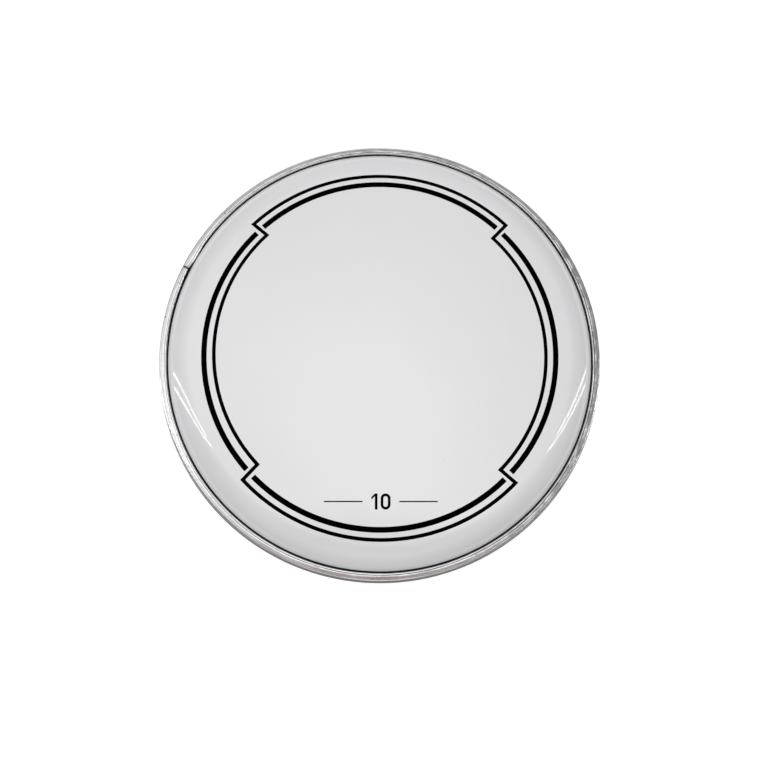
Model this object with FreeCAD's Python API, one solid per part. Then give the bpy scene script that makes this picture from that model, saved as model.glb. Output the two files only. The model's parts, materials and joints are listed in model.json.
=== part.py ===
import FreeCAD, Part
import math
import os

# Drum head: a film with a formed collar, its hem cast in resin inside a rolled channel hoop.
# Millimetres. Z = 0 is the hoop's lower face, the Z axis is the drum's axis, +Y is the top of the print.

# Drum shell that the head goes over
shell_diameter = 254.0
shell_clearance = 0.9  # radial play between the shell and the hoop

# Channel hoop
strip_thickness = 0.9
channel_width = 4.0  # clear width between the inner wall and the shoulder
outer_wall_lean = 18.0  # degrees from upright, inward as the wall rises
inner_wall_height = 6.2
lip_rise = 3.6  # top of the lip above the inner wall
floor_bend_radius = 0.4  # inside radii of the bends
shoulder_bend_radius = 0.8
nose_bend_radius = 0.15
throat_width = 0.87  # gap between the lip's nose and the collar
seam_width = 0.35
seam_angle = 156.3  # degrees from +X
hoop_spans = 6  # equal spans that the strip is turned in

# Film
upper_ply_thickness = 0.19
lower_ply_thickness = 0.19
collar_angle = 62.0  # degrees from the playing surface
collar_bend_radius = 16.0
collar_straight = 2.2  # length of the collar's straight slope
collar_foot_bend_radius = 1.5
collar_foot_rise = 0.2  # bend at the collar's foot starts this far above the inner wall

# Film hem in the channel
hem_gap = 0.25  # resin between the hem and the walls
hook_bend_radius = 1.2
hook_end_gap = 0.6  # between the hook's end and the outer wall
hem_hole_diameter = 2.0
hem_hole_pitch = 16.0

# Resin
resin_freeboard = 0.6  # from the resin up to the top of the inner wall

# Print on the playing surface
ink_thickness = 0.06
bold_ring_inset = 9.95  # of the bold ring from the edge of the flat field
bold_ring_width = 3.2
fine_line_width = 2.15
fine_line_offset = 5.7  # of the fine line from the bold ring, out and in
crossing_clearance = 1.85  # between the fine line and the ends of the bold arcs
outside_stretches = 2  # stretches of the fine line outside the bold ring, one centred on +Y
size_mark_inset = 15.8  # of the middle of the size figure from the bold ring
figure_height = 9.0
figure_stroke = 1.5
figure_width = 5.6  # of the zero
figure_spacing = 1.8
figure_flag = 2.0  # reach of the one's slanted stroke
rule_length = 22.0
rule_width = 0.7
rule_spacing = 5.0  # between a figure and the rule beside it

# Derived places
hoop_inner_radius = shell_diameter / 2 + shell_clearance
hoop_height = inner_wall_height + lip_rise
floor_bend = floor_bend_radius + strip_thickness  # outside radii of the bends
shoulder_bend = shoulder_bend_radius + strip_thickness
nose_bend = nose_bend_radius + strip_thickness
shoulder_radius = hoop_inner_radius + channel_width + 2 * strip_thickness
wall_lean = math.radians(outer_wall_lean)
wall_rise = hoop_height - floor_bend - shoulder_bend  # between the centres of the wall's two bends
wall_splay = (wall_rise * math.sin(wall_lean) + shoulder_bend - floor_bend) / math.cos(wall_lean)
floor_end_radius = shoulder_radius - shoulder_bend + wall_splay  # centre of the bend up to the outer wall
hoop_outer_radius = floor_end_radius + floor_bend
cavity_inner_radius = hoop_inner_radius + strip_thickness
cavity_outer_radius = floor_end_radius + floor_bend_radius
film_thickness = upper_ply_thickness + lower_ply_thickness
hem_radius = cavity_inner_radius + hem_gap + film_thickness  # outer face of the hem
hook_level = strip_thickness + hem_gap + film_thickness  # upper face of the hook
foot_level = inner_wall_height + collar_foot_rise
resin_level = inner_wall_height - resin_freeboard

collar_slope = math.radians(collar_angle)
slope_top_level = (
    foot_level
    + collar_foot_bend_radius * math.cos(collar_slope)
    + collar_straight * math.sin(collar_slope)
)
slope_top_radius = (
    hem_radius
    - collar_foot_bend_radius * (1 - math.sin(collar_slope))
    - collar_straight * math.cos(collar_slope)
)
flat_radius = slope_top_radius - collar_bend_radius * math.sin(collar_slope)
playing_level = slope_top_level + collar_bend_radius * (1 - math.cos(collar_slope))

bold_ring_radius = flat_radius - bold_ring_inset
size_mark_radius = bold_ring_radius - size_mark_inset
sectors = 2 * outside_stretches
sector_angle = 360 / sectors
first_crossing_angle = 90 - sector_angle / 2

axis_foot = FreeCAD.Vector(0, 0, 0)
up = FreeCAD.Vector(0, 0, 1)


def section_point(radius, level):
    return FreeCAD.Vector(radius, 0, level)


def polar_point(radius, degrees, level):
    angle = math.radians(degrees)
    return FreeCAD.Vector(radius * math.cos(angle), radius * math.sin(angle), level)


# A strip's edge in the XZ section, followed from its start. A move is a straight run,
# (length, 0), or a bend, (radius, turn in degrees), where a turn to the left is positive.
# The edge lies offset to the left of the path. Returns the edges and the two end points.
def follow(start, heading, moves, offset):
    radius, level = start
    angle = math.radians(heading)
    radius -= offset * math.sin(angle)
    level += offset * math.cos(angle)
    first = section_point(radius, level)
    edges = []
    for size, turn in moves:
        here = section_point(radius, level)
        if turn == 0:
            radius += size * math.cos(angle)
            level += size * math.sin(angle)
            edges.append(Part.makeLine(here, section_point(radius, level)))
            continue
        side = math.copysign(1, turn)
        bend = size - side * offset
        centre_radius = radius - side * bend * math.sin(angle)
        centre_level = level + side * bend * math.cos(angle)
        halfway = angle + math.radians(turn) / 2
        angle += math.radians(turn)
        middle = section_point(
            centre_radius + side * bend * math.sin(halfway),
            centre_level - side * bend * math.cos(halfway),
        )
        radius = centre_radius + side * bend * math.sin(angle)
        level = centre_level - side * bend * math.cos(angle)
        edges.append(Part.Arc(here, middle, section_point(radius, level)).toShape())
    return edges, first, section_point(radius, level)


# A strip between two offsets of one path, turned about the axis. Each end is cut square,
# or rounded off over the strip's thickness.
def turned_strip(start, heading, moves, near, far, rounded, degrees=360):
    near_edges, near_first, near_last = follow(start, heading, moves, near)
    far_edges, far_first, far_last = follow(start, heading, moves, far)
    if rounded:
        last_heading = math.radians(heading + sum(turn for size, turn in moves))
        last_cap = rounded_end(near_last, far_last, last_heading)
        first_cap = rounded_end(near_first, far_first, math.radians(heading + 180))
    else:
        last_cap = Part.makeLine(near_last, far_last)
        first_cap = Part.makeLine(near_first, far_first)
    edges = Part.sortEdges(near_edges + far_edges + [last_cap, first_cap])[0]
    return Part.Face(Part.Wire(edges)).revolve(axis_foot, up, degrees)


def rounded_end(near, far, heading):
    reach = (far - near).Length / 2
    out = section_point(reach * math.cos(heading), reach * math.sin(heading))
    return Part.Arc(near, (near + far) / 2 + out, far).toShape()


# Radius at a level of the line along the collar's straight slope, which no part of the film passes
def collar_radius(level):
    return slope_top_radius + (slope_top_level - level) / math.tan(collar_slope)


# The strip runs down the inner wall, across the floor, up the outer wall and in along the lip.
# It is turned in equal spans from the seam round to the seam, joined end to end.
def make_flesh_hoop():
    end_round = strip_thickness / 2
    nose_radius = collar_radius(hoop_height - nose_bend) + throat_width
    moves = [
        (inner_wall_height - end_round - floor_bend, 0),
        (floor_bend, 90),
        (floor_end_radius - hoop_inner_radius - floor_bend, 0),
        (floor_bend, 90 + outer_wall_lean),
        (wall_splay * math.sin(wall_lean) + wall_rise * math.cos(wall_lean), 0),
        (shoulder_bend, 90 - outer_wall_lean),
        (shoulder_radius - nose_radius - shoulder_bend - nose_bend, 0),
        (nose_bend, 90),
    ]
    start = (hoop_inner_radius, inner_wall_height - end_round)
    seam = math.degrees(seam_width / hoop_outer_radius)
    span_angle = (360 - seam) / hoop_spans
    spans = []
    for number in range(hoop_spans):
        span = turned_strip(start, -90, moves, 0, strip_thickness, True, span_angle)
        span.rotate(axis_foot, up, seam_angle + seam / 2 + number * span_angle)
        spans.append(span)
    return spans[0].multiFuse(spans[1:]).Solids[0]


# A ply runs from the hook's end in to the hem, up the wall, over the collar and in to the axis
def make_ply(near, far):
    hook_end_radius = cavity_outer_radius - hook_end_gap
    moves = [
        (hook_end_radius - hem_radius - hook_bend_radius, 0),
        (hook_bend_radius, -90),
        (foot_level - hook_level - hook_bend_radius, 0),
        (collar_foot_bend_radius, 90 - collar_angle),
        (collar_straight, 0),
        (collar_bend_radius, collar_angle),
        (flat_radius, 0),
    ]
    start = (hook_end_radius, hook_level)
    ply = turned_strip(start, 180, moves, near, far, False)
    return ply.cut(Part.makeCompound(hem_holes()))


# Radial holes through the hem, which the resin fills
def hem_holes():
    level = (hook_level + hook_bend_radius + resin_level) / 2
    depth = hem_gap + film_thickness
    count = round(2 * math.pi * hem_radius / hem_hole_pitch)
    holes = []
    for number in range(count):
        angle = 360 * number / count
        foot = polar_point(hem_radius - depth, angle, level)
        hole = Part.makeCylinder(hem_hole_diameter / 2, 2 * depth, foot, polar_point(1, angle, 0))
        holes.append(hole)
    return holes


# The resin fills the channel up to its level, round the hem and through the holes
def make_anchor_resin(plies):
    bend_level = strip_thickness + floor_bend_radius
    leaning_rise = resin_level - bend_level - floor_bend_radius * math.sin(wall_lean)
    moves = [
        (resin_level - bend_level, 0),
        (floor_bend_radius, 90),
        (floor_end_radius - cavity_inner_radius - floor_bend_radius, 0),
        (floor_bend_radius, 90 + outer_wall_lean),
        (leaning_rise / math.cos(wall_lean), 0),
    ]
    edges, first, last = follow((cavity_inner_radius, resin_level), -90, moves, 0)
    edges.append(Part.makeLine(last, first))
    fill = Part.Face(Part.Wire(edges)).revolve(axis_foot, up, 360)
    return fill.cut(Part.makeCompound(plies))


def arc_edge(radius, first_angle, last_angle):
    return Part.Arc(
        polar_point(radius, first_angle, playing_level),
        polar_point(radius, (first_angle + last_angle) / 2, playing_level),
        polar_point(radius, last_angle, playing_level),
    ).toShape()


def radial_edge(first_radius, last_radius, angle):
    return Part.makeLine(
        polar_point(first_radius, angle, playing_level),
        polar_point(last_radius, angle, playing_level),
    )


def printed(face):
    return face.extrude(up * ink_thickness)


# Arcs of the bold ring, one in each sector, short of the crossings at both ends
def make_bold_arcs():
    margin = math.degrees((fine_line_width / 2 + crossing_clearance) / bold_ring_radius)
    inner = bold_ring_radius - bold_ring_width / 2
    outer = bold_ring_radius + bold_ring_width / 2
    arcs = []
    for number in range(sectors):
        first = first_crossing_angle + number * sector_angle + margin
        last = first + sector_angle - 2 * margin
        wire = Part.Wire([
            arc_edge(outer, first, last),
            radial_edge(outer, inner, last),
            arc_edge(inner, last, first),
            radial_edge(inner, outer, first),
        ])
        arcs.append(printed(Part.Face(wire)))
    return Part.makeCompound(arcs)


# One edge of the fine line: arcs outside and inside the bold ring in turn, joined by radial
# steps at the crossings. The outside arcs run past the crossings by the spread.
def stepped_ring(outside, inside, spread):
    edges = []
    for number in range(sectors):
        crossing = first_crossing_angle + number * sector_angle
        next_crossing = crossing + sector_angle
        if number % 2 == 0:
            edges.append(arc_edge(outside, crossing - spread, next_crossing + spread))
            edges.append(radial_edge(outside, inside, next_crossing + spread))
        else:
            edges.append(arc_edge(inside, crossing + spread, next_crossing - spread))
            edges.append(radial_edge(inside, outside, next_crossing - spread))
    return Part.Wire(edges)


def make_fine_line():
    half = fine_line_width / 2
    spread = math.degrees(half / bold_ring_radius)
    outside = bold_ring_radius + fine_line_offset
    inside = bold_ring_radius - fine_line_offset
    outline = printed(Part.Face(stepped_ring(outside + half, inside + half, spread)))
    opening = printed(Part.Face(stepped_ring(outside - half, inside - half, -spread)))
    return outline.cut(opening)


def print_point(x, y):
    return FreeCAD.Vector(x, y, playing_level)


def flat_face(points):
    corners = [print_point(x, y) for x, y in points]
    return Part.Face(Part.makePolygon(corners + corners[:1]))


def bar(left, bottom, width, height):
    right = left + width
    top = bottom + height
    return flat_face([(left, bottom), (right, bottom), (right, top), (left, top)])


# A figure one: an upright stroke with a slanted flag at its top left
def figure_one(left, bottom):
    stem = left + figure_flag
    top = bottom + figure_height
    return flat_face([
        (stem, bottom),
        (stem + figure_stroke, bottom),
        (stem + figure_stroke, top),
        (stem, top),
        (left, top - figure_flag),
        (left, top - figure_flag - figure_stroke),
        (stem, top - figure_stroke),
    ])


# An upright slot shape: two half circles joined by straight sides
def slot_face(left, bottom, width, height):
    end = width / 2
    right = left + width
    low = bottom + end
    high = bottom + height - end
    centre = left + end
    top_right = print_point(right, high)
    top_left = print_point(left, high)
    low_left = print_point(left, low)
    low_right = print_point(right, low)
    return Part.Face(Part.Wire([
        Part.makeLine(low_right, top_right),
        Part.Arc(top_right, print_point(centre, high + end), top_left).toShape(),
        Part.makeLine(top_left, low_left),
        Part.Arc(low_left, print_point(centre, low - end), low_right).toShape(),
    ]))


def figure_zero(left, bottom):
    outline = printed(slot_face(left, bottom, figure_width, figure_height))
    opening = printed(slot_face(
        left + figure_stroke,
        bottom + figure_stroke,
        figure_width - 2 * figure_stroke,
        figure_height - 2 * figure_stroke,
    ))
    return outline.cut(opening)


# The nominal size in inches, ten, with a short rule on each side
def make_size_mark():
    one_width = figure_flag + figure_stroke
    left = -(one_width + figure_spacing + figure_width) / 2
    bottom = -size_mark_radius - figure_height / 2
    rule_bottom = -size_mark_radius - rule_width / 2
    left_rule = left - rule_spacing - rule_length
    right_rule = -left + rule_spacing
    return Part.makeCompound([
        printed(figure_one(left, bottom)),
        figure_zero(left + one_width + figure_spacing, bottom),
        printed(bar(left_rule, rule_bottom, rule_length, rule_width)),
        printed(bar(right_rule, rule_bottom, rule_length, rule_width)),
    ])


upper_ply = make_ply(0, upper_ply_thickness)
lower_ply = make_ply(upper_ply_thickness, film_thickness)
pieces = {
    "flesh_hoop": make_flesh_hoop(),
    "upper_ply": upper_ply,
    "lower_ply": lower_ply,
    "anchor_resin": make_anchor_resin([upper_ply, lower_ply]),
    "print_bold_arcs": make_bold_arcs(),
    "print_fine_line": make_fine_line(),
    "print_size_mark": make_size_mark(),
}

os.makedirs("parts", exist_ok=True)
for name, shape in pieces.items():
    shape.exportStep(os.path.join("parts", name + ".step"))
    print(name, shape.ShapeType, "valid", shape.isValid(), "volume", round(shape.Volume, 2))
print("outer diameter", round(2 * hoop_outer_radius, 2), "playing level", round(playing_level, 3))
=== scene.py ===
import bpy
import json
import math
import numpy as np
from mathutils import Matrix, Vector


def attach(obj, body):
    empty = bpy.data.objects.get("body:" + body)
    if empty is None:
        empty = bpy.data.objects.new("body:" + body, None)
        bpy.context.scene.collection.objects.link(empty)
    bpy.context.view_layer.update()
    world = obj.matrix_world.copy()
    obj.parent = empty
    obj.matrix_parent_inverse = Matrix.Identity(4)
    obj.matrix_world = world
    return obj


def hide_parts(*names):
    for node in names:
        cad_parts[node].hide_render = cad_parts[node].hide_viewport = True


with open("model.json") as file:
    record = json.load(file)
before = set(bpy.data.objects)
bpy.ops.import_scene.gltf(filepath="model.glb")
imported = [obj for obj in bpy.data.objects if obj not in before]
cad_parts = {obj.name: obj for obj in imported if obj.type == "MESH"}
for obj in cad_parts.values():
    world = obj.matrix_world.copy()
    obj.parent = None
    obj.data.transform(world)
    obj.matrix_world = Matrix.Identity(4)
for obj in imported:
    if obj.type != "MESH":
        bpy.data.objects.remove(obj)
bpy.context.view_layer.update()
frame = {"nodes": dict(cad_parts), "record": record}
mm = 0.001
samePoint = 1e-9    # metres under which places are one point
onAxis = 1e-6       # metres under which a radius is none
print("frame loaded,", len(frame["nodes"]), "nodes")


# smallest and largest radius and highest level of a node's vertices
def nodeReach(name):
    vertices = frame["nodes"][name].data.vertices
    points = np.empty(len(vertices) * 3, np.float32)
    vertices.foreach_get("co", points)
    points = points.reshape(-1, 3).astype(float)
    radii = np.hypot(points[:, 0], points[:, 1])
    return {"near": radii.min(), "far": radii.max(), "top": points[:, 2].max()}


hoopReach = nodeReach("flesh_hoop")
filmReach = nodeReach("upper_ply")
boldReach = nodeReach("print_bold_arcs")
fineReach = nodeReach("print_fine_line")
playingLevel = filmReach["top"]
boldRadius = (boldReach["near"] + boldReach["far"]) / 2
boldWidth = boldReach["far"] - boldReach["near"]
bore = [mount for mount in frame["record"]["mounts"] if mount["name"] == "shell_bore"][0]
boreRadius = bore["dims"]["r_mm"] * mm
print("bore", boreRadius, "hoop", hoopReach["far"], "bold ring", boldRadius, "playing level", playingLevel)


# eased rise from 0 to 1 between two values: 3t squared minus 2t cubed
def easedRise(value, low, high):
    share = np.clip((value - low) / (high - low), 0, 1)
    return share * share * (3 - 2 * share)


# smooth noise round the ring: cosines with whole numbers of waves, so it closes on itself
def ringNoise(angles, waves, seed):
    draw = np.random.default_rng(seed)
    counts = np.arange(waves[0], waves[1] + 1)
    phases = draw.uniform(0, 2 * np.pi, len(counts))
    sizes = draw.normal(0, 1, len(counts))
    noise = (np.cos(np.outer(angles, counts) + phases) * sizes).sum(axis=1)
    return noise / np.abs(noise).max()


# a section edge from its start as (radius, level) points, offset to the left of its path;
# a move is (length, 0, steps) for a straight run or (radius, turn, steps) for a bend to the left
def sectionEdge(start, heading, moves, offset):
    angle = math.radians(heading)
    radius = start[0] - offset * math.sin(angle)
    level = start[1] + offset * math.cos(angle)
    runs = [np.array([[radius, level]])]
    for size, turn, steps in moves:
        share = np.arange(1, steps + 1) / steps
        if turn == 0:
            run = np.stack([
                radius + share * size * math.cos(angle),
                level + share * size * math.sin(angle),
            ], 1)
        else:
            side = math.copysign(1, turn)
            bend = side * (size - side * offset)
            headings = angle + share * math.radians(turn)
            run = np.stack([
                radius + bend * (np.sin(headings) - math.sin(angle)),
                level - bend * (np.cos(headings) - math.cos(angle)),
            ], 1)
            angle += math.radians(turn)
        runs.append(run)
        radius, level = run[-1]
    return np.concatenate(runs)


# half circle from one strip face round to the other, without its two ends
def roundEnd(near, far, steps):
    middle = (near + far) / 2
    arm = near - middle
    out = np.array([arm[1], -arm[0]])
    turn = np.pi * np.arange(1, steps + 1)[:, None] / (steps + 1)
    return middle + arm * np.cos(turn) + out * np.sin(turn)


# a closed profile carried along a path: grid[place, spot] is that spot of the profile at that place;
# spots that stay in one point become a pole, and an open path gets a cap at each end
def carriedMesh(name, grid, closedPath, along=None, across=None):
    places, spots = grid.shape[:2]
    index = np.arange(places * spots).reshape(places, spots)
    pole = np.ptp(grid, axis=0).max(axis=1) < samePoint
    index[:, pole] = index[0, pole]
    rows = np.vstack([index, index[:1]]) if closedPath else index
    here, ahead = rows[:-1], rows[1:]
    quads = np.stack([here, ahead, np.roll(ahead, -1, 1), np.roll(here, -1, 1)], 2)
    nextPole = np.roll(pole, -1)
    fours = [quads[:, ~pole & ~nextPole].reshape(-1, 4)]
    threes = [
        quads[:, ~pole & nextPole][..., [0, 1, 2]].reshape(-1, 3),
        quads[:, pole & ~nextPole][..., [0, 2, 3]].reshape(-1, 3),
    ]
    if not closedPath:
        low = np.arange(spots // 2 - 1)
        cap = np.stack([low, low + 1, spots - 2 - low, spots - 1 - low], 1)
        fours.append(index[0][cap])
        fours.append(index[-1][cap[:, ::-1]])
    fours = np.concatenate(fours)
    threes = np.concatenate(threes)
    used, place = np.unique(np.concatenate([fours.ravel(), threes.ravel()]), return_inverse=True)
    points = grid.reshape(-1, 3)[used]
    fours, threes = place[:fours.size].reshape(-1, 4), place[fours.size:].reshape(-1, 3)
    halves = np.concatenate([fours[:, [0, 1, 2]], fours[:, [0, 2, 3]], threes])
    corner = points[halves]
    volume = (corner[:, 0] * np.cross(corner[:, 1], corner[:, 2])).sum() / 6  # pyramids from the origin
    if volume < 0:
        fours, threes = fours[:, ::-1], threes[:, ::-1]  # faces point outwards
    mesh = bpy.data.meshes.new(name)
    mesh.vertices.add(len(points))
    mesh.vertices.foreach_set("co", points.ravel())
    mesh.loops.add(fours.size + threes.size)
    mesh.loops.foreach_set("vertex_index", np.concatenate([fours.ravel(), threes.ravel()]))
    mesh.polygons.add(len(fours) + len(threes))
    starts = np.concatenate([np.arange(len(fours)) * 4, fours.size + np.arange(len(threes)) * 3])
    mesh.polygons.foreach_set("loop_start", starts)
    mesh.polygons.foreach_set("use_smooth", np.ones(len(starts), bool))
    mesh.update(calc_edges=True)
    if along is not None:  # place on the strip: metres along it, metres across it, and which face
        spot = np.zeros((places, spots, 3))
        spot[..., 0] = along[:, None]
        spot[..., 1:] = across[None, :]
        layer = mesh.attributes.new("stripPlace", "FLOAT_VECTOR", "POINT")
        layer.data.foreach_set("vector", spot.reshape(-1, 3)[used].ravel())
    piece = bpy.data.objects.new(name, mesh)
    bpy.context.scene.collection.objects.link(piece)
    cubed = round(abs(volume) / mm ** 3, 1)
    print(name, len(points), "points,", len(halves), "triangles, volume", cubed, "mm3")
    return piece


# a flat profile laid along a path in the plane: the point plus its side offset along the mitred normal
def laidBand(name, path, closedPath, profile, level):
    ahead = np.roll(path, -1, 0) - path
    behind = np.roll(ahead, 1, 0)
    if not closedPath:
        ahead[-1] = behind[-1]
        behind[0] = ahead[0]
    ahead = ahead / np.linalg.norm(ahead, axis=1)[:, None]
    behind = behind / np.linalg.norm(behind, axis=1)[:, None]
    mean = ahead + behind
    mean = mean / np.linalg.norm(mean, axis=1)[:, None]
    mitre = 1 / (mean * ahead).sum(axis=1)
    normal = np.stack([-mean[:, 1], mean[:, 0]], 1) * mitre[:, None]
    grid = np.empty((len(path), len(profile), 3))
    grid[..., :2] = path[:, None] + normal[:, None] * profile[None, :, :1]
    grid[..., 2] = level + profile[None, :, 1]
    return carriedMesh(name, grid, closedPath)


# a piece gets its material, moves with the one body and stands for its node
def placePiece(piece, node, material):
    piece.data.materials.append(material)
    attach(piece, "root")
    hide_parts(node)


# a value is linked into a socket where it comes from another node, and set on it otherwise
def feed(tree, socket, value):
    if isinstance(value, bpy.types.NodeSocket):
        tree.links.new(value, socket)
    else:
        socket.default_value = value


# a new node with its settings and inputs
def addNode(tree, kind, settings=None, **inputs):
    made = tree.nodes.new(kind)
    for key, value in (settings or {}).items():
        setattr(made, key, value)
    for key, value in inputs.items():
        feed(tree, made.inputs[key], value)
    return made


# one step of arithmetic with up to three values
def calc(tree, operation, first, second=0.0, third=0.0):
    made = addNode(tree, "ShaderNodeMath", {"operation": operation})
    for socket, value in zip(made.inputs, (first, second, third)):
        feed(tree, socket, value)
    return made.outputs[0]


# first times second
def times(tree, first, second):
    return calc(tree, "MULTIPLY", first, second)


# first times second, plus third
def timesPlus(tree, first, second, third):
    return calc(tree, "MULTIPLY_ADD", first, second, third)


# parts of a vector along X, Y and Z
def vectorParts(tree, vector):
    return addNode(tree, "ShaderNodeSeparateXYZ", None, Vector=vector).outputs


# a place times the scale along each axis, then turned
def scaledPlace(tree, vector, scale, turn=(0, 0, 0)):
    made = addNode(tree, "ShaderNodeMapping", None, Vector=vector, Scale=scale, Rotation=turn)
    return made.outputs["Vector"]


# smooth noise at a place, from 0 to 1
def noiseValue(tree, vector, scale, detail=2.0, roughness=0.5):
    settings = {"Scale": scale, "Detail": detail, "Roughness": roughness}
    return addNode(tree, "ShaderNodeTexNoise", None, Vector=vector, **settings).outputs["Fac"]


# noise drawn out by its own scale along each axis
def drawnNoise(tree, vector, look):
    return noiseValue(tree, scaledPlace(tree, vector, look["scale"]), 1.0, look["detail"], look["grain"])


# a value carried from one span to another, straight or eased, and held at its ends
def mapped(tree, value, span, result=(0, 1), smooth=False):
    style = "SMOOTHSTEP" if smooth else "LINEAR"
    made = addNode(tree, "ShaderNodeMapRange", {"interpolation_type": style}, Value=value)
    for key, number in zip(("From Min", "From Max", "To Min", "To Max"), (*span, *result)):
        made.inputs[key].default_value = number
    return made.outputs["Result"]


# first colour less a share of it, plus that share of the second
def blended(tree, share, first, second):
    made = addNode(tree, "ShaderNodeMix", {"data_type": "RGBA"}, Factor=share)
    for socket, value in zip(made.inputs[6:8], (first, second)):  # the two colour sockets
        feed(tree, socket, (*value, 1) if isinstance(value, tuple) else value)
    return made.outputs[2]


# bump of a height, into the shader's normal
def addRelief(tree, shader, relief, height):
    made = addNode(tree, "ShaderNodeBump", None, Height=height, **relief)
    feed(tree, shader.inputs["Normal"], made.outputs["Normal"])


# an empty node group that takes a place and named numbers, and gives named numbers
def newGroup(name, inputs, outputs):
    tree = bpy.data.node_groups.new(name, "ShaderNodeTree")
    tree.interface.new_socket(name="Vector", in_out="INPUT", socket_type="NodeSocketVector")
    for label, value in inputs.items():
        socket = tree.interface.new_socket(name=label, in_out="INPUT", socket_type="NodeSocketFloat")
        socket.default_value = value
    for label in outputs:
        tree.interface.new_socket(name=label, in_out="OUTPUT", socket_type="NodeSocketFloat")
    return tree, tree.nodes.new("NodeGroupInput").outputs, tree.nodes.new("NodeGroupOutput").inputs


# a group placed in a material with the material's own values
def useGroup(tree, group, **inputs):
    return addNode(tree, "ShaderNodeGroup", {"node_tree": group}, **inputs).outputs


# a new material, its nodes, its shader and the place on the object
def newMaterial(name):
    material = bpy.data.materials.new(name)
    material.use_nodes = True
    tree = material.node_tree
    place = tree.nodes.new("ShaderNodeTexCoord").outputs["Object"]
    return material, tree, tree.nodes["Principled BSDF"], place


# broad cloudiness: two sizes of noise, averaged
cloudMix = {"coarse": 0.65, "fine": 0.35, "finer": 4.3}


def buildCloudGroup(look):
    tree, given, result = newGroup("softClouds", {"Scale": 20.0}, ["Clouds"])
    coarse = noiseValue(tree, given["Vector"], given["Scale"], detail=2.0)
    fineScale = times(tree, given["Scale"], look["finer"])
    fine = noiseValue(tree, given["Vector"], fineScale, detail=3.0)
    feed(tree, result["Clouds"], timesPlus(tree, fine, look["fine"], times(tree, coarse, look["coarse"])))
    return tree


# hairline rub marks: three layers of noise, drawn out sideways, where only the crests show
rubLines = {"turns": (0.3, 1.35, 2.45), "drawn": (0.035, 1, 1), "gain": 14.0}


def buildRubGroup(look):
    tree, given, result = newGroup("hairlineRubs", {"Scale": 900.0, "Crest": 0.68}, ["Rubs"])
    total = None
    for turn in look["turns"]:
        drawn = scaledPlace(tree, given["Vector"], look["drawn"], (0, 0, turn))
        layer = noiseValue(tree, drawn, given["Scale"], detail=1.0)
        crest = calc(tree, "MAXIMUM", calc(tree, "SUBTRACT", layer, given["Crest"]), 0.0)
        line = times(tree, crest, look["gain"])
        total = line if total is None else calc(tree, "MAXIMUM", total, line)
    feed(tree, result["Rubs"], calc(tree, "MINIMUM", total, 1.0))
    return tree


# sparse specks: small ragged spots at the middle of a few cells of a cell pattern
speckSpots = {"edgeScale": 4000.0, "edge": 0.12, "edgeMean": 0.06}


def buildSpeckGroup(look):
    tree, given, result = newGroup("sparseSpecks", {"Scale": 150.0, "Size": 0.12, "Share": 0.05}, ["Specks"])
    cells = addNode(tree, "ShaderNodeTexVoronoi", None, Vector=given["Vector"], Scale=given["Scale"]).outputs
    chance = addNode(tree, "ShaderNodeSeparateColor", None, Color=cells["Color"]).outputs[0]
    chosen = calc(tree, "LESS_THAN", chance, given["Share"])
    edge = noiseValue(tree, given["Vector"], look["edgeScale"], detail=1.0)
    ragged = timesPlus(tree, edge, look["edge"], cells["Distance"])
    reach = calc(tree, "ADD", given["Size"], look["edgeMean"])
    spot = calc(tree, "LESS_THAN", ragged, reach)
    feed(tree, result["Specks"], times(tree, spot, chosen))
    return tree


softClouds = buildCloudGroup(cloudMix)
hairlineRubs = buildRubGroup(rubLines)
sparseSpecks = buildSpeckGroup(speckSpots)
print("shared node groups made")


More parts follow.
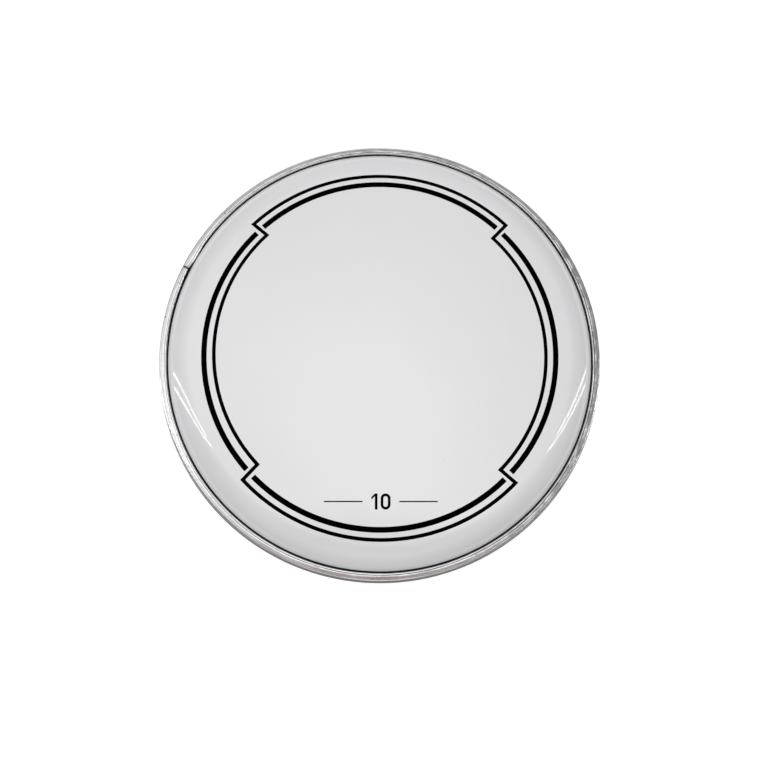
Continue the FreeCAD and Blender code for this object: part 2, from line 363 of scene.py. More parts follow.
# rolled aluminium: streaks along the strip, roller lines, pits and rub marks, with painted shade growing to
# the right and back, a painted dark reflection on the side wall, painted shade in the roller lines and
# inside the channel, and painted highlights on the nose and the shoulder
hoopLook = {
    "clean": (0.44, 0.44, 0.445),       # on the left, where wear and painted shade are least
    "bright": (0.42, 0.42, 0.426),
    "dull": (0.21, 0.21, 0.214),
    "burnishAndHighlight": (0.62, 0.62, 0.625),   # painted highlight: a bright line along the shoulder
    "shoulder": (0.84, 0.84, 0.845),    # line along the shoulder, where hoops rub
    # painted dark reflection on the outer side wall
    "side": (0.36, 0.36, 0.362),
    # painted shade in the roller lines
    "line": (0.10, 0.098, 0.096),
    "shadedInside": (0.03, 0.029, 0.028),    # painted shade inside the channel
    "pit": (0.10, 0.095, 0.09),
    "dimmedGrazingTint": (0.25, 0.25, 0.25, 1),  # reflection at a grazing angle, dimmed as a painted dark reflection on the steep wall
    "gloss": (0.18, 0.40),              # roughness of the bright and of the dull streaks
    "rubRoughness": 0.12,
    "longStreak": {"scale": (14, 3600, 1), "detail": 3.0, "grain": 0.6},
    "shortStreak": {"scale": (150, 1500, 1), "detail": 2.0, "grain": 0.6},
    "streakShares": (0.45, 0.55),
    "mottle": 120.0,
    "rubs": {"Scale": 1500.0, "Crest": 0.66},
    "pits": {"Scale": 420.0, "Size": 0.16, "Share": 0.04},
    "wearAndShadeBack": 0.45,                   # wear and painted shade grow to the right, and by this share to the back
    "wearAndShadeSpan": (-0.13, 0.12),
    "blotchMean": 0.45,
    "blotchWeight": 1.1,
    "backSpan": (0.03, 0.12),           # fewer blotches at the back
    "backShares": (1.0, 0.35),
    "dullSpan": (0.40, 0.68),
    "dullByWearAndShade": (0.35, 1.0),
    "waver": {"scale": (60, 200, 1), "detail": 2.0, "grain": 0.5},
    "waverSpan": (0.3, 0.5),
    "waverShares": (0.5, 1.0),
    "polishSpan": (-0.25 * mm, 0.1 * mm),   # from where the nose begins
    "polishByWearAndShade": (1.0, 0.5),
    "shoulderHighlightPlace": -0.7 * mm,           # from where the land begins
    "shoulderHighlightWidth": 0.6 * mm,
    "linePlace": 0.35 * mm,             # second roller line, the first is in the groove; both darkened as painted shade
    "lineStrengths": (0.95, 0.5),
    "lineWidth": 0.58 * mm,
    "lineCore": 0.2,                    # share of the width at full strength
    "lineSpan": (0.34, 0.5),
    "lineShares": (0.45, 1),
    "lineByWearAndShade": (0.45, 1.0),
    "sideSpan": (-0.1 * mm, 0.3 * mm),  # from where the shoulder begins
    "sideStreakSpan": (0.3, 0.6),
    "sideShares": (1.0, 0.7),
    "mottleHeight": 1.2,
    "heightByWear": (0.5, 1.0),
    "pitHeight": -0.8,
    "lineHeight": -0.8,
    "relief": {"Strength": 0.30, "Distance": 0.00010},
}


# share of a thin line at one place across the strip: one at the place, none a width away
def lineShare(tree, across, place, width, core):
    away = calc(tree, "ABSOLUTE", calc(tree, "SUBTRACT", across, place))
    return mapped(tree, away, (core * width, width), (1, 0), True)


# tone: clean to bright, then dull streaks and blotches, growing to the right and back partly as wear and
# partly as painted shade; the burnished nose with its painted highlight; the painted highlight on the
# shoulder;
# the painted dark reflection on the side wall, the roller lines darkened as painted shade, the pits and the
# painted shade inside the channel, one over the other
def buildHoopMaterial(look, marks, groovePlace):
    material, tree, shader, place = newMaterial("rolledAluminium")
    shader.inputs["Metallic"].default_value = 1.0
    shader.inputs["Specular Tint"].default_value = look["dimmedGrazingTint"]
    strip = addNode(tree, "ShaderNodeAttribute", {"attribute_name": "stripPlace"}).outputs["Vector"]
    stripParts = vectorParts(tree, strip)
    across = stripParts["Y"]
    longStreak = drawnNoise(tree, strip, look["longStreak"])
    shortStreak = drawnNoise(tree, strip, look["shortStreak"])
    longShare, shortShare = look["streakShares"]
    streak = timesPlus(tree, longStreak, longShare, times(tree, shortStreak, shortShare))
    wavering = drawnNoise(tree, strip, look["waver"])
    uneven = mapped(tree, wavering, look["waverSpan"], look["waverShares"])
    mottle = useGroup(tree, softClouds, Vector=place, Scale=look["mottle"])["Clouds"]
    rubs = useGroup(tree, hairlineRubs, Vector=place, **look["rubs"])["Rubs"]
    pits = useGroup(tree, sparseSpecks, Vector=place, **look["pits"])["Specks"]
    placeParts = vectorParts(tree, place)
    # worn: wear and painted shade together, growing to the right and to the back
    worn = timesPlus(tree, placeParts["Y"], look["wearAndShadeBack"], placeParts["X"])
    worn = mapped(tree, worn, look["wearAndShadeSpan"], (0, 1), True)

    def byWearAndShade(value, shares):
        return times(tree, value, mapped(tree, worn, (0, 1), shares))

    blotch = times(tree, calc(tree, "SUBTRACT", mottle, look["blotchMean"]), worn)
    blotch = times(tree, blotch, mapped(tree, placeParts["Y"], look["backSpan"], look["backShares"]))
    dull = timesPlus(tree, blotch, look["blotchWeight"], streak)
    dull = byWearAndShade(mapped(tree, dull, look["dullSpan"], (0, 1), True), look["dullByWearAndShade"])
    tone = blended(tree, worn, look["clean"], look["bright"])
    tone = blended(tree, dull, tone, look["dull"])

    # the nose: burnished, and brightened as a painted highlight
    polishSpan = [marks["nose"] + step for step in look["polishSpan"]]
    polished = times(tree, mapped(tree, across, polishSpan, (0, 1), True), uneven)
    tone = blended(tree, byWearAndShade(polished, look["polishByWearAndShade"]), tone, look["burnishAndHighlight"])
    # painted highlight: a bright line along the shoulder
    shoulderHighlightPlace = marks["land"] + look["shoulderHighlightPlace"]
    shoulderHighlight = lineShare(tree, across, shoulderHighlightPlace, look["shoulderHighlightWidth"], look["lineCore"])
    tone = blended(tree, times(tree, shoulderHighlight, uneven), tone, look["shoulder"])

    # roller lines: relief in the bump, and darkened in the tone as painted shade
    rollerLinesAndShade = None
    spots = (marks["nose"] - groovePlace, marks["land"] + look["linePlace"])
    for spot, strength in zip(spots, look["lineStrengths"]):
        line = times(tree, lineShare(tree, across, spot, look["lineWidth"], look["lineCore"]), strength)
        rollerLinesAndShade = line if rollerLinesAndShade is None else calc(tree, "MAXIMUM", rollerLinesAndShade, line)
    rollerLinesAndShade = times(tree, rollerLinesAndShade, mapped(tree, wavering, look["lineSpan"], look["lineShares"], True))
    rollerLinesAndShade = byWearAndShade(rollerLinesAndShade, look["lineByWearAndShade"])

    # painted dark reflection over the side wall, from the shoulder down, streaked
    sideSpan = [marks["shoulder"] + step for step in look["sideSpan"]]
    side = mapped(tree, across, sideSpan, (1, 0), True)
    side = times(tree, side, mapped(tree, streak, look["sideStreakSpan"], look["sideShares"]))
    tone = blended(tree, side, tone, look["side"])
    tone = blended(tree, rollerLinesAndShade, tone, look["line"])
    tone = blended(tree, pits, tone, look["pit"])
    # painted shade on the faces inside the channel
    tone = blended(tree, stripParts["Z"], tone, look["shadedInside"])
    feed(tree, shader.inputs["Base Color"], tone)

    sheen = mapped(tree, dull, (0, 1), look["gloss"])
    feed(tree, shader.inputs["Roughness"], timesPlus(tree, rubs, look["rubRoughness"], sheen))
    height = byWearAndShade(timesPlus(tree, mottle, look["mottleHeight"], streak), look["heightByWear"])
    height = timesPlus(tree, pits, look["pitHeight"], height)
    height = timesPlus(tree, rollerLinesAndShade, look["lineHeight"], height)
    addRelief(tree, shader, look["relief"], height)
    return material


# hoop: one strip bent into a channel with an inward lip, its two ends meeting at the seam
hoop = {
    "thickness": 0.9 * mm,
    "wallTop": 6.2 * mm,
    "floorBend": 1.3 * mm,           # outer radii of the bends
    "shoulderBend": 1.0 * mm,
    "noseBend": 1.05 * mm,
    "lean": 18.0,                    # degrees of the outer wall from upright
    "noseRadius": 128.85 * mm,
    "endSteps": 4,                   # round edges of the strip
    "places": 1000,                  # along the strip
    "seamAngle": 156.3,
    "seamWidth": 0.35 * mm,
    "lipStart": 0.6 * mm,            # the lip moves from here, inwards of the shoulder
    "lipFull": 0.2 * mm,             # and fully from here, outwards of the nose
    "lipRise": (0.8 * mm, 1.4 * mm),     # above the inner wall's top
    "slot": {                        # degrees after and before the seam
        "wide": 0.30 * mm,           # the slot opens after the seam
        "wideStart": (0, 3),
        "wideEnd": (8, 28),
        "mouth": 0.65 * mm,          # more so close to it
        "mouthFall": (3.2, 0.8),
        "pinch": 0.35 * mm,          # and is pinched before it
        "pinchStart": (1.0, 2.2),
        "pinchEnd": (4.5, 7.5),
    },
    "wander": {
        "nose": 0.07 * mm,           # how far the lip's edge wanders in and out
        "noseWaves": (3, 17),
        "noseSeed": 41,
        "fineShare": 0.4,
        "fineWaves": (18, 90),
        "fineSeed": 42,
        "land": 0.05 * mm,           # and up and down
        "landWaves": (4, 40),
        "landSeed": 43,
        "seamLift": 0.18 * mm,
        "seamLiftFall": 1.5,
    },
    "groove": {                      # roller groove on the land
        "place": 0.40 * mm,          # from the end of the nose's bend
        "depth": 0.10 * mm,
        "half": 0.20 * mm,
        "below": (0.5 * mm, 0.2 * mm),   # only the top face, between these depths under it
    },
    "dents": {
        "depth": 0.035 * mm,
        "waves": (61, 83, 127, 171, 233, 289),
        "slant": (300, 1500),
        "seed": 44,
        "fadeWaves": (2, 9),
        "fadeSeed": 41,
        "rise": (1.0 * mm, 2.2 * mm),    # above the inner wall's top
    },
}


# runs and bends of the strip's outer face, with the shoulder's radius first; the wall is the common
# tangent of the foot's and the shoulder's bend
def stripMoves(look):
    lean = math.radians(look["lean"])
    floorEnd = hoopReach["far"] - look["floorBend"]
    rise = hoopReach["top"] - look["floorBend"] - look["shoulderBend"]
    splay = (rise * math.sin(lean) + look["shoulderBend"] - look["floorBend"]) / math.cos(lean)
    shoulderRadius = floorEnd - splay + look["shoulderBend"]
    return shoulderRadius, [
        (look["wallTop"] - look["thickness"] / 2 - look["floorBend"], 0, 2),
        (look["floorBend"], 90, 4),
        (floorEnd - boreRadius - look["floorBend"], 0, 2),
        (look["floorBend"], 90 + look["lean"], 5),
        (splay * math.sin(lean) + rise * math.cos(lean), 0, 4),
        (look["shoulderBend"], 90 - look["lean"], 8),
        (shoulderRadius - look["noseRadius"] - look["shoulderBend"] - look["noseBend"], 0, 14),
        (look["noseBend"], 90, 6),
    ]


# distances across the strip, from the middle of its inner edge, to where shoulder, land and nose begin
def stripMarks(look):
    moves = stripMoves(look)[1]
    runs = [size if turn == 0 else size * math.radians(turn) for size, turn, _ in moves]
    reached = np.cumsum(runs) + look["thickness"] / 2 * math.radians(90)
    return dict(zip(("shoulder", "land", "nose"), reached[-4:-1]))


# section of the strip, from the middle of its inner edge along the outer face and back along the inner
# one, with the distance across the strip at each spot, alike on both faces
def stripOutline(look, moves):
    start = (boreRadius, look["wallTop"] - look["thickness"] / 2)
    near = sectionEdge(start, -90, moves, 0)
    far = sectionEdge(start, -90, moves, look["thickness"])
    noseEdge = roundEnd(near[-1], far[-1], look["endSteps"])
    wallEdge = roundEnd(far[0], near[0], look["endSteps"])
    outline = np.concatenate([near, noseEdge, far[::-1], wallEdge])
    outline = np.roll(outline, look["endSteps"] // 2, 0)
    run = np.linalg.norm(np.diff(outline, axis=0), axis=1)
    across = np.concatenate([[0], np.cumsum(run)])
    half = len(outline) // 2
    across[half:] = across[:half][::-1]
    inside = np.arange(len(outline)) >= half    # faces inside the channel
    return outline, across, inside


# opening of the slot: a wide stretch after the seam, plus a mouth that dies away on each side of it,
# less the pinch before it
def slotOpening(look, after, before):
    opened = look["wide"] * (1 - easedRise(after, *look["wideEnd"])) * easedRise(after, *look["wideStart"])
    opened = opened + look["mouth"] * np.exp(-after / look["mouthFall"][0])
    opened = opened + look["mouth"] * np.exp(-before / look["mouthFall"][1])
    pinch = look["pinch"] * easedRise(before, *look["pinchStart"])
    return opened - pinch * (1 - easedRise(before, *look["pinchEnd"]))


# dents, from -1 to 1: ring waves of several counts, each swept across the strip at its own phase
def stripDents(look, angles, across):
    draw = np.random.default_rng(look["seed"])
    dents = np.zeros((len(angles), len(across)))
    for waves in look["waves"]:
        slant = draw.uniform(*look["slant"])
        phase = draw.uniform(0, 2 * np.pi)
        fade = 0.5 + 0.5 * ringNoise(angles, look["fadeWaves"], look["fadeSeed"] + waves)
        swept = np.cos(waves * angles[:, None] + slant * across[None, :] + phase)
        dents += fade[:, None] * swept / len(look["waves"])
    return dents


# the section carried round from one side of the seam to the other; the lip's radius adds opening and
# wander, its level adds the land's lift, and both lose the dents
def buildHoop(look):
    shoulderRadius, moves = stripMoves(look)
    outline, across, inside = stripOutline(look, moves)
    gap = look["seamWidth"] / hoopReach["far"]
    first = math.radians(look["seamAngle"]) + gap / 2
    angles = np.linspace(first, first + 2 * np.pi - gap, look["places"])
    after = np.degrees(angles - first)          # degrees past the seam
    before = after[-1] - after                  # degrees left to the seam

    radius, level = outline[:, 0], outline[:, 1]
    lip = easedRise(radius, shoulderRadius - look["lipStart"], look["noseRadius"] + look["lipFull"])
    lip = lip * easedRise(level, *[look["wallTop"] + step for step in look["lipRise"]])
    wander = look["wander"]
    sway = wander["nose"] * ringNoise(angles, wander["noseWaves"], wander["noseSeed"])
    fineSway = ringNoise(angles, wander["fineWaves"], wander["fineSeed"])
    sway = sway + wander["fineShare"] * wander["nose"] * fineSway
    opened = slotOpening(look["slot"], after, before)
    radii = radius[None, :] + lip[None, :] * (opened + sway)[:, None]

    groove = look["groove"]
    grooveRadius = look["noseRadius"] + look["noseBend"] + groove["place"]
    sunk = groove["depth"] * np.exp(-((radius - grooveRadius) / groove["half"]) ** 2)
    sunk = sunk * easedRise(level, *[hoopReach["top"] - step for step in groove["below"]])
    lift = wander["land"] * ringNoise(angles, wander["landWaves"], wander["landSeed"])
    lift = lift + wander["seamLift"] * np.exp(-after / wander["seamLiftFall"])
    levels = (level - sunk)[None, :] + lip[None, :] * lift[:, None]

    dents = stripDents(look["dents"], angles, across)
    depth = look["dents"]["depth"]
    upper = easedRise(level, *[look["wallTop"] + step for step in look["dents"]["rise"]])
    levels = levels - depth * (0.5 + 0.5 * dents) * upper[None, :]
    radii = radii - 0.5 * depth * (1 + dents) * upper[None, :]
    grid = np.stack([radii * np.cos(angles)[:, None], radii * np.sin(angles)[:, None], levels], 2)
    return carriedMesh("hoop", grid, False, angles * hoopReach["far"], np.stack([across, inside], 1))


hoopMaterial = buildHoopMaterial(hoopLook, stripMarks(hoop), hoop["groove"]["place"])
placePiece(buildHoop(hoop), "flesh_hoop", hoopMaterial)


# print: a bold ring in four arcs, and a fine line that runs outside and inside it in turn, joined by
# steps at the crossings; the screen was not cut in quite even quarters
crossings = (45.60, 134.90, 224.11, 314.76)     # degrees
boldArcs = {
    "clearance": 1.68 * mm,      # to the fine line at a crossing
    "arcSteps": 200,
    "drift": (-0.24, 0.06),      # of the ring's centre, in mm
}
fineLine = {
    "width": 2.15 * mm,
    "arcSteps": 150,
    "drift": ((-0.28, -0.23), (-0.15, 1.00), (0.0, 0.20), (-0.42, -0.56)),  # of each arc's centre, in mm
}
fineOutside = fineReach["far"] - fineLine["width"] / 2
fineInside = fineReach["near"] + fineLine["width"] / 2


# white film: even gloss, faint clouds, a few rub marks and specks
filmLook = {
    "colour": (0.824, 0.834, 0.846),
    "shade": (0.806, 0.817, 0.830),
    "speckColour": (0.30, 0.29, 0.28),
    "ior": 1.57,
    "gloss": (0.03, 0.055),      # roughness of clean and of handled film
    "rubRoughness": 0.08,
    "clouds": 17.0,
    "cloudSpan": (0.3, 0.7),
    "handled": 34.0,
    "handledSpan": (0.4, 0.62),
    "rubs": {"Scale": 700.0, "Crest": 0.70},
    "specks": {"Scale": 55.0, "Size": 0.02, "Share": 0.03},
    "peel": 620.0,
    "rubHeight": -0.25,
    "relief": {"Strength": 0.025, "Distance": 0.00004},
}

# painted shade on the film down in the slot, near black
slotShade = {
    "span": (9.15 * mm, 9.65 * mm),
    "raggedScale": 900.0,
    "ragged": 0.2 * mm,
    "colour": (0.005, 0.005, 0.005),
    "roughness": 0.7,
}

# painted shadow of the print, showing faintly through the film from below
printShadowBelow = {"strength": 0.14, "blur": 0.5 * mm, "colour": (0.55, 0.55, 0.56), "roughness": 0.0}


# painted slot shade: full below the span of levels, none above it
def slotShadeShare(tree, place):
    ragged = noiseValue(tree, place, slotShade["raggedScale"])
    level = timesPlus(tree, ragged, slotShade["ragged"], vectorParts(tree, place)["Z"])
    return mapped(tree, level, slotShade["span"], (1, 0), True)


# painted print shadow: full where the radius is within half a width of a ring, with the fine ring further
# out where |y| > |x|
def printShadowShare(tree, place):
    parts = vectorParts(tree, place)
    radius = calc(tree, "SQRT", timesPlus(tree, parts["Y"], parts["Y"], times(tree, parts["X"], parts["X"])))
    sizes = [calc(tree, "ABSOLUTE", parts[axis]) for axis in ("Y", "X")]
    upright = calc(tree, "GREATER_THAN", *sizes)
    fineRadius = timesPlus(tree, upright, fineOutside - fineInside, fineInside)
    blur = printShadowBelow["blur"]
    total = None
    for ring, width in ((boldRadius, boldWidth), (fineRadius, fineLine["width"])):
        away = calc(tree, "ABSOLUTE", calc(tree, "SUBTRACT", radius, ring))
        mark = mapped(tree, away, (width / 2 - blur, width / 2 + blur), (printShadowBelow["strength"], 0), True)
        total = mark if total is None else calc(tree, "MAXIMUM", total, mark)
    return total


# tone: shade to colour by the clouds, then the specks, then the mark that the ply carries: painted shade in
# the slot on the upper ply, a painted shadow of the print on the lower
def buildFilmMaterial(name, look, mark, markLook):
    material, tree, shader, place = newMaterial(name)
    shader.inputs["IOR"].default_value = look["ior"]
    clouds = useGroup(tree, softClouds, Vector=place, Scale=look["clouds"])["Clouds"]
    rubs = useGroup(tree, hairlineRubs, Vector=place, **look["rubs"])["Rubs"]
    specks = useGroup(tree, sparseSpecks, Vector=place, **look["specks"])["Specks"]
    tone = blended(tree, mapped(tree, clouds, look["cloudSpan"]), look["shade"], look["colour"])
    tone = blended(tree, specks, tone, look["speckColour"])
    marked = mark(tree, place)
    feed(tree, shader.inputs["Base Color"], blended(tree, marked, tone, markLook["colour"]))
    handled = useGroup(tree, softClouds, Vector=place, Scale=look["handled"])["Clouds"]
    sheen = mapped(tree, handled, look["handledSpan"], look["gloss"], True)
    sheen = timesPlus(tree, rubs, look["rubRoughness"], sheen)
    feed(tree, shader.inputs["Roughness"], timesPlus(tree, marked, markLook["roughness"], sheen))
    peel = noiseValue(tree, place, look["peel"], detail=1.0)
    addRelief(tree, shader, look["relief"], timesPlus(tree, rubs, look["rubHeight"], peel))
    return material


# film plies: hook, hem, collar and flat field turned about the axis, r and level from the section
film = {
    "upperThickness": 0.19 * mm,
    "lowerThickness": 0.19 * mm,
    "parting": 0.01 * mm,        # air between the plies
    "hemRadius": 129.43 * mm,
    "hookLevel": 1.53 * mm,
    "hookBend": 1.2 * mm,
    "footLevel": 6.4 * mm,
    "footBend": 1.5 * mm,
    "flatRadius": 112.5 * mm,    # edge of the flat field
    "places": 720,
    "ripple": 0.02 * mm,         # slow waves of the free film
    "rippleWaves": (2, 6),
    "rippleSeed": 7,
    "rippleEnd": 1 * mm,         # inwards of the collar's foot
    "pucker": 0.006 * mm,        # fine waves of the collar
    "puckerWaves": (9, 34),
    "puckerSeed": 8,
    "puckerFull": 4 * mm,        # inwards of the collar's foot
    "puckerFade": 2 * mm,
}


# collar: one arc from the flat field that runs into the foot's bend, so the tangent of half its turn is
# its fall over its reach; ripples grow from the middle and end at the foot, puckers stay on the collar
def buildPly(name, look, near, far):
    flatRadius = look["flatRadius"]
    reach = look["hemRadius"] - look["footBend"] - flatRadius
    fall = playingLevel - look["footLevel"] - look["footBend"]
    turn = 2 * math.atan2(fall, reach)
    collarBend = reach / math.sin(turn) + look["footBend"]
    collarFoot = flatRadius + collarBend * math.sin(turn)
    start = (filmReach["far"], look["hookLevel"])
    moves = [
        (start[0] - look["hemRadius"] - look["hookBend"], 0, 2),
        (look["hookBend"], -90, 5),
        (look["footLevel"] - look["hookLevel"] - look["hookBend"], 0, 3),
        (look["footBend"], 90 - math.degrees(turn), 4),
        (collarBend, math.degrees(turn), 30),
        (flatRadius, 0, 14),
    ]
    outline = np.concatenate([
        sectionEdge(start, 180, moves, near),
        sectionEdge(start, 180, moves, far)[::-1],
    ])
    radius, level = outline[:, 0].copy(), outline[:, 1]
    radius[radius < onAxis] = 0
    angles = np.linspace(0, 2 * np.pi, look["places"], endpoint=False)
    field = easedRise(radius, 0, flatRadius)
    field = field * (1 - easedRise(radius, flatRadius, collarFoot - look["rippleEnd"]))
    collar = easedRise(radius, flatRadius, collarFoot - look["puckerFull"])
    collar = collar * (1 - easedRise(radius, collarFoot - look["puckerFade"], collarFoot))
    slow = ringNoise(angles, look["rippleWaves"], look["rippleSeed"])
    fine = ringNoise(angles, look["puckerWaves"], look["puckerSeed"])
    sink = look["ripple"] * (0.5 - 0.5 * slow)[:, None] * field[None, :]
    sink = sink + look["pucker"] * (0.5 - 0.5 * fine)[:, None] * collar[None, :]
    levels = level[None, :] - sink
    grid = np.stack([np.outer(np.cos(angles), radius), np.outer(np.sin(angles), radius), levels], 2)
    return carriedMesh(name, grid, True)


# the upper ply carries the painted shade in the slot, the lower ply the painted shadow of the print
filmMaterial = buildFilmMaterial("whiteFilm", filmLook, slotShadeShare, slotShade)
filmUnderMaterial = buildFilmMaterial("whiteFilmBelow", filmLook, printShadowShare, printShadowBelow)
filmDepth = film["upperThickness"] + film["lowerThickness"]
upperPly = buildPly("filmUpper", film, 0, film["upperThickness"] - film["parting"])
lowerPly = buildPly("filmLower", film, film["upperThickness"], filmDepth)
placePiece(upperPly, "upper_ply", filmMaterial)
placePiece(lowerPly, "lower_ply", filmUnderMaterial)


# screen-printed ink: black, satin, a little thin in places and worn by hairline rubs
inkLook = {
    "colour": (0.0004, 0.0004, 0.0004),
    "thin": (0.0012, 0.0012, 0.0012),
    "worn": (0.012, 0.012, 0.012),
    "specular": 0.0,
    "clouds": 240.0,
    "thinSpan": (0.35, 0.7),
    "roughSpan": (0.3, 0.7),
    "roughness": (0.34, 0.46),
    "rubs": {"Scale": 900.0, "Crest": 0.74},
    "screen": 3000.0,
    "relief": {"Strength": 0.12, "Distance": 0.00003},
}


# tone: colour to thin by the clouds, then the rubs
def buildInkMaterial(look):
    material, tree, shader, place = newMaterial("printedInk")
    shader.inputs["Specular IOR Level"].default_value = look["specular"]
    clouds = useGroup(tree, softClouds, Vector=place, Scale=look["clouds"])["Clouds"]
    rubs = useGroup(tree, hairlineRubs, Vector=place, **look["rubs"])["Rubs"]
    tone = blended(tree, mapped(tree, clouds, look["thinSpan"]), look["colour"], look["thin"])
    feed(tree, shader.inputs["Base Color"], blended(tree, rubs, tone, look["worn"]))
    feed(tree, shader.inputs["Roughness"], mapped(tree, clouds, look["roughSpan"], look["roughness"]))
    addRelief(tree, shader, look["relief"], noiseValue(tree, place, look["screen"], detail=1.0))
    return material


inkEdge = {"round": 0.10 * mm, "steps": 5, "sink": 0.004 * mm}


# ink profile: a flat top with rounded edges over a flat foot, as (side, height) points
def inkProfile(width):
    half = width / 2
    depth = boldReach["top"] - playingLevel
    turn = np.linspace(0, np.pi / 2, inkEdge["steps"])
    rise = np.stack([half - inkEdge["round"] * (1 - np.cos(turn)), depth * np.sin(turn)], 1)
    foot = np.array([[half, -inkEdge["sink"]]])
    right = np.concatenate([foot, rise])
    left = right[::-1] * np.array([-1, 1])
    return np.concatenate([right, left])


# arc of one quarter, from crossing to crossing and short of both by a margin: its centre, which has
# drifted, plus the radius times (cosine, sine) of the angle
def quarterArc(quarter, radius, drift, margin, steps):
    ends = (*crossings, crossings[0] + 360)
    first, last = math.radians(ends[quarter]), math.radians(ends[quarter + 1])
    angles = np.linspace(first + margin, last - margin, steps)
    return np.array(drift) * mm + radius * np.stack([np.cos(angles), np.sin(angles)], 1)


# the ink profile laid along the bold ring's arc in each quarter
def buildBoldArcs(look):
    margin = (fineLine["width"] / 2 + look["clearance"]) / boldRadius
    profile = inkProfile(boldWidth)
    pieces = []
    for quarter in range(4):
        path = quarterArc(quarter, boldRadius, look["drift"], margin, look["arcSteps"])
        pieces.append(laidBand("inkBoldArc%d" % (quarter + 1), path, False, profile, playingLevel))
    return pieces


# the ink profile laid along four arcs in one closed loop, the first and third of them outside
def buildFineLine(look):
    radii = (fineOutside, fineInside, fineOutside, fineInside)
    arcs = [quarterArc(quarter, radii[quarter], look["drift"][quarter], 0, look["arcSteps"])
            for quarter in range(4)]
    return laidBand("inkFineLine", np.concatenate(arcs), True, inkProfile(look["width"]), playingLevel)


inkMaterial = buildInkMaterial(inkLook)
for arc in buildBoldArcs(boldArcs):
    placePiece(arc, "print_bold_arcs", inkMaterial)
placePiece(buildFineLine(fineLine), "print_fine_line", inkMaterial)


# cast resin: dark, lumpy, with pale filler grains
resinLook = {
    "colour": (0.012, 0.011, 0.011),
    "lump": (0.045, 0.042, 0.04),
    "grain": (0.22, 0.21, 0.20),
    "lumps": 420.0,
    "lumpSpan": (0.45, 0.7),
    "roughSpan": (0.3, 0.7),
    "roughness": (0.38, 0.7),
    "grains": {"Scale": 1300.0, "Size": 0.2, "Share": 0.16},
    "relief": {"Strength": 0.6, "Distance": 0.0004},
}


# tone: colour to lump by the lumps, then the grains
def buildResinMaterial(look):
    material, tree, shader, place = newMaterial("castResin")
    lumps = useGroup(tree, softClouds, Vector=place, Scale=look["lumps"])["Clouds"]
    grains = useGroup(tree, sparseSpecks, Vector=place, **look["grains"])["Specks"]
    tone = blended(tree, mapped(tree, lumps, look["lumpSpan"], (0, 1), True), look["colour"], look["lump"])
    feed(tree, shader.inputs["Base Color"], blended(tree, grains, tone, look["grain"]))
    feed(tree, shader.inputs["Roughness"], mapped(tree, lumps, look["roughSpan"], look["roughness"]))
    addRelief(tree, shader, look["relief"], lumps)
    return material


# carried-over nodes with their own finish
for node, material in (("anchor_resin", buildResinMaterial(resinLook)), ("print_size_mark", inkMaterial)):
    slots = frame["nodes"][node].data.materials
    slots.clear()
    slots.append(material)
print("pieces placed")


# material of the stage, without the usual shader: its nodes and the socket that takes its own
def stageMaterial(name):
    material = bpy.data.materials.new(name)
    material.use_nodes = True
    tree = material.node_tree
    tree.nodes.remove(tree.nodes["Principled BSDF"])
    return material, tree, tree.nodes["Material Output"].inputs["Surface"]


# a plain mesh that is not part of the object
def stagePiece(name, points, faces, material):
    mesh = bpy.data.meshes.new(name)
    mesh.from_pydata(points.tolist(), [], faces)
    mesh.materials.append(material)
    piece = bpy.data.objects.new(name, mesh)
    bpy.context.scene.collection.objects.link(piece)
    return piece


# floor: a wide pale plane under the hoop, white to the camera and in reflections, with a soft shadow
floor = {"half": 6.0, "level": -0.2 * mm, "colour": (0.55, 0.55, 0.55), "lift": 0.66}


# a square between minus half and half in x and y; matte colour plus the lift, where it is seen
def buildFloor(look):
    reach = np.array([-look["half"], look["half"]])
    x, y = np.meshgrid(reach, reach)
    points = np.stack([x.ravel(), y.ravel(), np.full(4, look["level"])], 1)
    material, tree, surface = stageMaterial("paleFloor")
    matte = addNode(tree, "ShaderNodeBsdfDiffuse", None, Color=(*look["colour"], 1))
    path = tree.nodes.new("ShaderNodeLightPath").outputs
    seen = calc(tree, "MAXIMUM", path["Is Camera Ray"], path["Is Glossy Ray"])
    seen = calc(tree, "MAXIMUM", seen, path["Is Transmission Ray"])
    lift = addNode(tree, "ShaderNodeEmission", None, Strength=times(tree, seen, look["lift"]))
    both = tree.nodes.new("ShaderNodeAddShader")
    tree.links.new(matte.outputs[0], both.inputs[0])
    tree.links.new(lift.outputs[0], both.inputs[1])
    tree.links.new(both.outputs[0], surface)
    stagePiece("floor", points, [(0, 1, 3, 2)], material)


buildFloor(floor)


# room: light from all round, dimmer at the sides, two soft panels overhead, a dim warm patch at the viewer
room = {
    "level": 0.73,
    "side": 1.8,                 # taken off towards the left and the right
    "tilt": -0.09,               # more on the left, less on the right
    "rise": 0.08,                # more towards the back, less towards the front
    "least": 0.05,
    "panels": (
        {"light": 2.15, "centre": (0.03, -0.13), "spread": (0.17, 0.33)},
        {"light": 1.50, "centre": (-0.31, 0.18), "spread": (0.36, 0.155)},
    ),
    "viewerCentre": (0.0, -0.36),
    "viewerReach": (0.34, 0.30),
    "viewerSpan": (0.35, 1.25),
    "viewerShade": 0.84,
    "viewerTint": (1.0, 0.70, 0.68),
}


# squared distance of a direction from a centre: (x over its reach) squared plus (y over its reach) squared
def squaredAway(tree, parts, centre, reach):
    across = calc(tree, "DIVIDE", calc(tree, "SUBTRACT", parts["X"], centre[0]), reach[0])
    along = calc(tree, "DIVIDE", calc(tree, "SUBTRACT", parts["Y"], centre[1]), reach[1])
    return timesPlus(tree, along, along, times(tree, across, across))


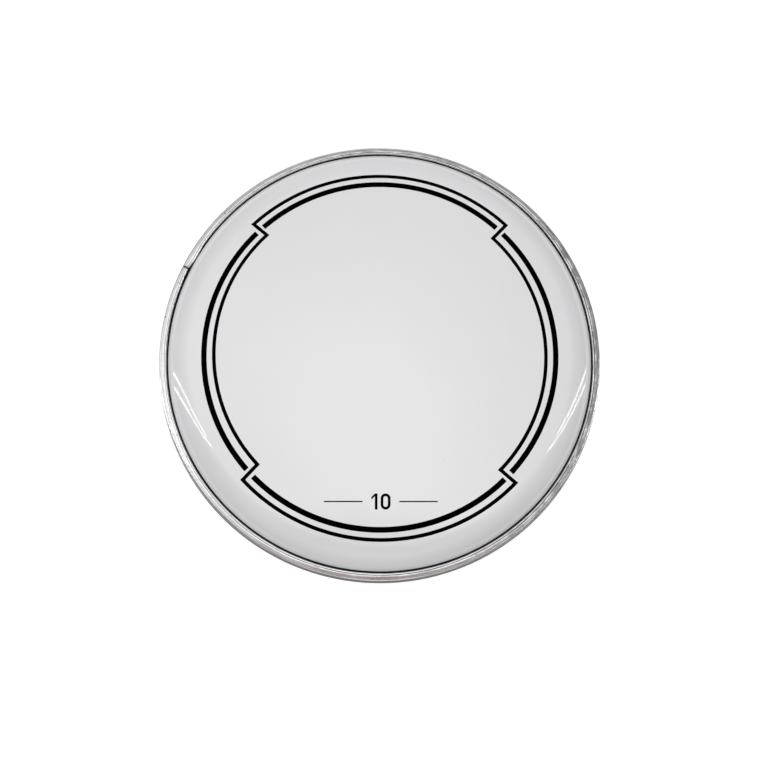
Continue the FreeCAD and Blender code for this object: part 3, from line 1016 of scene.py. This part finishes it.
# light in a direction: the level less its fall to the sides and the front, plus a bell for each panel,
# which is e to minus half the squared distance, times one less the viewer's patch
def buildRoom(look):
    world = bpy.data.worlds.new("room")
    bpy.context.scene.world = world
    world.use_nodes = True
    tree = world.node_tree
    direction = tree.nodes.new("ShaderNodeTexCoord").outputs["Generated"]
    parts = vectorParts(tree, direction)
    slant = timesPlus(tree, parts["X"], -look["side"], look["tilt"])
    light = timesPlus(tree, slant, parts["X"], look["level"])
    light = timesPlus(tree, parts["Y"], look["rise"], light)
    light = calc(tree, "MAXIMUM", light, look["least"])
    above = calc(tree, "GREATER_THAN", parts["Z"], 0.0)
    for panel in look["panels"]:
        away = squaredAway(tree, parts, panel["centre"], panel["spread"])
        bell = times(tree, calc(tree, "EXPONENT", times(tree, away, -0.5)), above)
        light = timesPlus(tree, bell, panel["light"], light)
    away = squaredAway(tree, parts, look["viewerCentre"], look["viewerReach"])
    patch = times(tree, mapped(tree, away, look["viewerSpan"], (1, 0), True), above)
    light = times(tree, light, timesPlus(tree, patch, -look["viewerShade"], 1.0))
    path = tree.nodes.new("ShaderNodeLightPath").outputs
    seen = calc(tree, "MAXIMUM", path["Is Camera Ray"], path["Is Transmission Ray"])
    hidden = calc(tree, "SUBTRACT", 1.0, seen)
    tint = blended(tree, times(tree, patch, hidden), (1.0, 1.0, 1.0), look["viewerTint"])
    back = tree.nodes["Background"].inputs
    feed(tree, back["Color"], tint)
    feed(tree, back["Strength"], timesPlus(tree, seen, calc(tree, "SUBTRACT", 1.0, light), light))


buildRoom(room)


# tall lamps at the sides, narrow glowing ribbons which draw the streaks on the collar
tallLamps = {
    "distance": 1.0,
    "parts": (
        {"name": "lampCore", "radiance": 9.5, "share": 1.0, "setBack": 0.0},    # share of the width
        {"name": "lampBorder", "radiance": 1.2, "share": 3.4, "setBack": 0.01},
    ),
    "widening": 0.8,             # share of the width added with each metre
    "middle": 1.4,               # height where the bow is deepest
    "steps": 40,
    "strips": (
        {"side": -1, "low": -0.024, "bow": 0.080, "top": 2.8, "width": 0.0145},
        {"side": -1, "low": -0.122, "bow": 0.105, "top": 2.9, "width": 0.0145},
        {"side": 1, "low": -0.071, "bow": 0.155, "top": 1.9, "width": 0.0155},
        {"side": 1, "low": -0.150, "bow": 0.160, "top": 2.4, "width": 0.0155},
    ),
}


# one ribbon; its middle line is its lowest place plus its bow times ((height - middle) / middle) squared
def buildRibbon(name, look, strip, part):
    z = np.linspace(0, strip["top"], look["steps"])
    y = strip["low"] + strip["bow"] * ((z - look["middle"]) / look["middle"]) ** 2
    x = np.full(look["steps"], strip["side"] * (look["distance"] + part["setBack"]))
    half = part["share"] * strip["width"] / 2 * (1 + look["widening"] * z)
    points = np.concatenate([np.stack([x, y - half, z], 1), np.stack([x, y + half, z], 1)])
    low = np.arange(look["steps"] - 1)
    faces = np.stack([low, low + 1, low + 1 + look["steps"], low + look["steps"]], 1)
    material, tree, surface = stageMaterial(name + "Glow")
    glow = addNode(tree, "ShaderNodeEmission", None, Strength=part["radiance"])
    tree.links.new(glow.outputs[0], surface)
    stagePiece(name, points, faces.tolist(), material).visible_camera = False


for number, strip in enumerate(tallLamps["strips"], 1):
    for part in tallLamps["parts"]:
        buildRibbon(part["name"] + str(number), tallLamps, strip, part)


# camera of the photograph: from above and a little in front
view = {
    "location": (-0.006442, -0.072784, 0.364061),
    "aim": (-0.000463, -0.016851, 0.0082),
    "roll": 0.0761,              # degrees
    "lens": 28.28,
    "sensor": 36.0,
    "nearest": 0.01,
}


# axes of the camera: back from the aim to its place, right across that and the page's top, then rolled
def buildCamera(look):
    data = bpy.data.cameras.new("camera")
    data.lens = look["lens"]
    data.sensor_width = look["sensor"]
    data.clip_start = look["nearest"]
    item = bpy.data.objects.new("camera", data)
    bpy.context.scene.collection.objects.link(item)
    back = (Vector(look["location"]) - Vector(look["aim"])).normalized()
    right = Vector((0, 1, 0)).cross(back).normalized()
    right = Matrix.Rotation(math.radians(look["roll"]), 3, back) @ right
    turn = Matrix((right, back.cross(right), back)).transposed().to_4x4()
    item.matrix_world = Matrix.Translation(look["location"]) @ turn
    bpy.context.scene.camera = item


buildCamera(view)
bpy.context.scene.view_settings.view_transform = "Standard"
print("stage, lamps and camera set")
